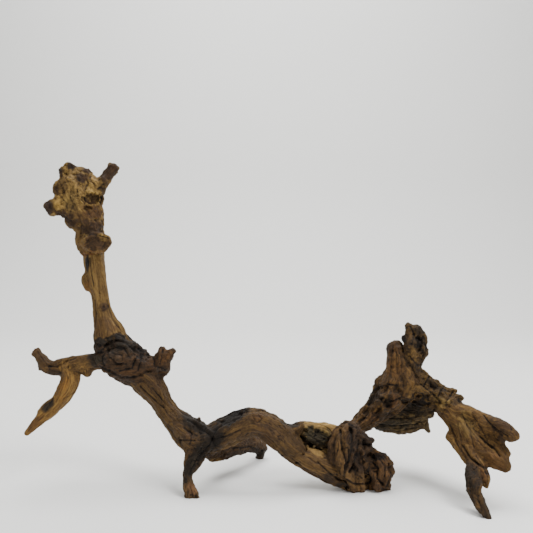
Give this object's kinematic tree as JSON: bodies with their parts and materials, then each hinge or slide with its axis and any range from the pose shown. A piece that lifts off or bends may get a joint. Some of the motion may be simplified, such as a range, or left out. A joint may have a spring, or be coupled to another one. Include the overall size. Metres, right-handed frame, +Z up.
{
  "type": "driftwood",
  "caption": "Branching piece of weathered driftwood with a burl on a long neck, an arched root, a pitted crown and a fan-shaped wing, lying on its snags as an ornament",
  "frame": {"origin": "Centre of the bounding box in plan, at the surface that the driftwood lies on", "axes": "+X runs along its length to the right of the picture's view, +Y runs away from that view, +Z is up"},
  "size_m": [0.5124, 0.1682, 0.3564],
  "materials": {
    "pale_burl_wood": "pale tan burl wood with brown hollows, dry and matt",
    "neck_wood": "tan brown wood with straight fine grain, dry and matt",
    "dark_burl_wood": "very dark brown swirled burl wood, charred in places, matt",
    "arm_wood": "brown wood with golden patches and long grain, matt",
    "trunk_wood": "warm brown wood with long grooves and charcoal bark patches, matt",
    "beam_wood": "smooth brown wood with paler worn edges, matt",
    "pale_log_wood": "pale worn wood round a black fibrous hollow, matt",
    "root_wood": "dark brown folded root wood, rough and matt",
    "tower_wood": "brown wood, deeply pitted below and streaked above, matt",
    "wing_wood": "olive brown wood with long curved grooves, matt"
  },
  "bodies": {
    "root": {"head": "pale_burl_wood", "neck": "neck_wood", "shoulder": "dark_burl_wood", "left_arm": "arm_wood", "lower_prong": "arm_wood", "trunk": "trunk_wood", "front_foot": "trunk_wood", "rear_root": "root_wood", "arch": "trunk_wood", "beam": "beam_wood", "pale_log": "pale_log_wood", "root_mass": "root_wood", "lower_knob": "root_wood", "tower": "tower_wood", "spire": "tower_wood", "ridge": "tower_wood", "shelf": "root_wood", "wing": "wing_wood", "right_leg": "root_wood"}
  },
  "joints": []
}
